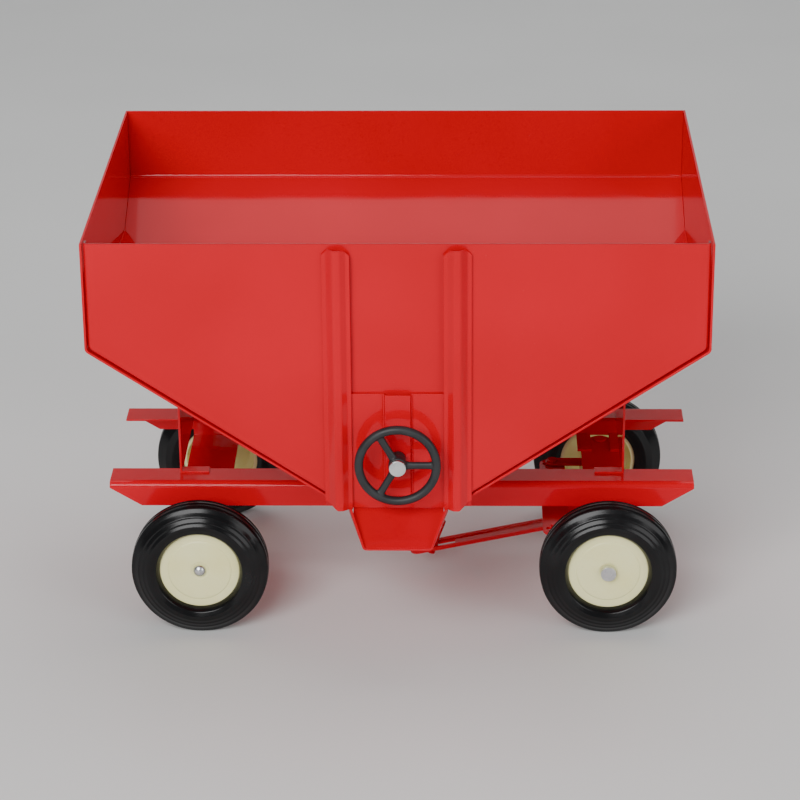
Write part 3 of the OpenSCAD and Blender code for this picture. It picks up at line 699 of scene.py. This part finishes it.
# ---------------------------------------------------------------- wheels
def tyre(node, body, centre, side):
    """A tyre with a round section, raised shoulder rings and shallow tread grooves."""
    lo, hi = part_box(node)
    big = (hi.x - lo.x) / 2
    width = hi.y - lo.y
    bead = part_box(node.replace("tyre", "hub"))[1].x - centre.x
    half = width / 2
    mouth, floor_half, groove_depth = 0.9 * mm, 0.5 * mm, 0.45 * mm
    section = [(bead, -half + 1.5 * mm), (bead + 2 * mm, -half + 0.2 * mm), (bead + 5 * mm, -half)]
    section += [(big - 4 * mm, -half + 0.9 * mm), (big - 1.4 * mm, -half + 3 * mm)]
    for groove in (-3.2, 0, 3.2):
        g = groove * mm
        crown = big - 0.05 * mm * groove * groove / 3
        section += [(crown, g - mouth), (crown - groove_depth, g - floor_half),
                    (crown - groove_depth, g + floor_half), (crown, g + mouth)]
    section += [(big - 1.4 * mm, half - 3.2 * mm), (big - 1.9 * mm, half - 2.9 * mm)]
    section += [(big - 3.1 * mm, half - 1.8 * mm), (big - 3.7 * mm, half - 1.7 * mm)]
    section += [(big - 5 * mm, half - 0.8 * mm), (big - 5.6 * mm, half - 0.75 * mm)]
    section += [(big - 6.8 * mm, half), (bead + 3.4 * mm, half - 0.05 * mm), (bead + 1.4 * mm, half - 0.8 * mm)]
    section += [(bead + 0.5 * mm, half - 2.0 * mm), (bead, half - 3.1 * mm)]
    profile = [(r, centre.y + y * side) for r, y in section]
    bm = lathe(profile, 160, centre)
    return finish_mesh(node + "_moulding", bm, BLACK, body, [node], 0.25 * mm, 18)


def hub(node, body, centre, side, disc_y):
    """A dished hub with a raised rim ring and a boss around the axle."""
    lo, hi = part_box(node)
    r = (hi.x - lo.x) / 2
    near = hi.y if side < 0 else lo.y
    bore = 2.05 * mm
    s = side
    rim_in = centre.y + s * (-8 + 2.5) * mm
    profile = [(bore, near), (5 * mm, near), (5 * mm, disc_y - s * 1.6 * mm), (r * 0.76, disc_y - s * 1.6 * mm)]
    profile += [(r - 1.6 * mm, disc_y - s * 2.6 * mm), (r - 1.6 * mm, rim_in), (r, rim_in)]
    profile += [(r, disc_y - s * 0.4 * mm), (r - 0.3 * mm, disc_y - s * 0.12 * mm)]
    profile += [(r * 0.80, disc_y - s * 0.3 * mm), (r * 0.775, disc_y - s * 0.02 * mm), (r * 0.74, disc_y)]
    profile += [(3.9 * mm, disc_y), (3.3 * mm, disc_y - s * 0.25 * mm), (bore, disc_y - s * 0.25 * mm)]
    bm = lathe(profile, 128, centre)
    return finish_mesh(node + "_moulding", bm, CREAM, body, [node], 0.15 * mm, 20)


for end in ("rear", "front"):
    for place, side in (("near", -1), ("far", 1)):
        tyre_node, hub_node = f"{end}_{place}_tyre", f"{end}_{place}_hub"
        lo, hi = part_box(tyre_node)
        centre = (lo + hi) / 2
        hub_lo, hub_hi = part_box(hub_node)
        disc_y = hub_lo.y if side < 0 else hub_hi.y
        tyre(tyre_node, f"{end}_{place}_wheel", centre, side)
        hub(hub_node, f"{end}_{place}_wheel", centre, side, disc_y)


# ---------------------------------------------------------------- kept CAD pieces
def finish_cad(name, material, width):
    """Gives a CAD node its finish and soft edges, leaving its mesh alone."""
    obj = nodes[name]
    obj.data.materials.clear()
    obj.data.materials.append(material)
    if "custom_normal" in obj.data.attributes:
        obj.data.attributes.remove(obj.data.attributes["custom_normal"])
    obj.data.polygons.foreach_set("use_smooth", [True] * len(obj.data.polygons))
    weld = obj.modifiers.new("weld", "WELD")
    weld.merge_threshold = 1e-6
    flat = obj.modifiers.new("flat", "DECIMATE")
    flat.decimate_type = "DISSOLVE"
    flat.angle_limit = radians(0.5)
    soften(obj, width, 30.0)


for node_name, slot_name in slots.items():
    thin = slot_name == "red_enamel"
    finish_cad(node_name, FINISHES[slot_name], 0.2 * mm if thin else 0.15 * mm)


# ---------------------------------------------------------------- floor, light and camera
def floor():
    """A pale seamless sweep: floor, a wide curve and a wall behind."""
    mat, tree, shader = new_material("pale_floor")
    coords = tree.nodes.new("ShaderNodeTexCoord")
    cloud = noise(tree, coords, 6, 2)
    mask = ramp(tree, cloud.outputs["Fac"], [(0.3, 0.0), (0.7, 1.0)])
    tree.links.new(mix(tree, mask.outputs["Color"], (0.80, 0.80, 0.79), (0.84, 0.84, 0.83)),
                   shader.inputs["Base Color"])
    shader.inputs["Roughness"].default_value = 0.7
    bm = bmesh.new()
    depth, curve, height, width = 1.2, 0.5, 1.6, 4.0
    line = [(-3.0, 0.0), (depth, 0.0)]
    line += [(depth + curve * sin(a), curve * (1 - cos(a))) for a in (pi / 2 * k / 16 for k in range(1, 17))]
    line.append((depth + curve, height))
    rows = [[bm.verts.new((x, y, z)) for x in (-width, width)] for y, z in line]
    for a, b in zip(rows, rows[1:]):
        bm.faces.new((a[0], a[1], b[1], b[0]))
    mesh = bpy.data.meshes.new("studio_sweep")
    for face in bm.faces:
        face.smooth = True
    bm.to_mesh(mesh)
    bm.free()
    mesh.materials.append(mat)
    obj = bpy.data.objects.new("studio_sweep", mesh)
    bpy.context.scene.collection.objects.link(obj)


def area(name, place, aim, size, power):
    """A soft square light that faces its aim point."""
    data = bpy.data.lights.new(name, "AREA")
    data.shape = "RECTANGLE"
    data.size = size
    data.size_y = size
    data.energy = power
    obj = bpy.data.objects.new(name, data)
    obj.location = place
    obj.rotation_euler = (Vector(aim) - Vector(place)).to_track_quat("-Z", "Y").to_euler()
    bpy.context.scene.collection.objects.link(obj)


def world():
    scene = bpy.context.scene
    scene.world = bpy.data.worlds.new("studio")
    scene.world.use_nodes = True
    background = scene.world.node_tree.nodes["Background"]
    background.inputs["Color"].default_value = (0.95, 0.97, 1.0, 1)
    background.inputs["Strength"].default_value = 0.22


def camera(aim, azimuth, elevation, roll, distance, lens):
    """A long-lens camera; azimuth 0 looks along +Y and positive roll leans it to the right."""
    a, e, r = radians(azimuth), radians(elevation), radians(roll)
    view = Vector((sin(a) * cos(e), cos(a) * cos(e), -sin(e)))
    right = Vector((cos(a), -sin(a), 0))
    up = right.cross(view)
    side = right * cos(r) + up * sin(r)
    top = up * cos(r) - right * sin(r)
    data = bpy.data.cameras.new("camera")
    data.lens = lens
    data.sensor_width = 36
    data.clip_start, data.clip_end = 0.05, 20
    obj = bpy.data.objects.new("camera", data)
    place = Vector(aim) - view * distance
    matrix = Matrix((side, top, -view)).transposed().to_4x4()
    matrix.translation = place
    obj.matrix_world = matrix
    bpy.context.scene.collection.objects.link(obj)
    bpy.context.scene.camera = obj


floor()
world()
middle = (0, 0, rim / 2)
area("key", (-0.55, -1.5, 1.05), middle, 1.0, 27)
area("fill", (1.2, -1.2, 0.6), middle, 0.9, 7)
area("top", (0.1, 0.35, 1.4), middle, 1.0, 6.5)
camera((-0.9 * mm, 0, 82.2 * mm), -1.395, 23.355, -0.482, 1.2042, 130.78)
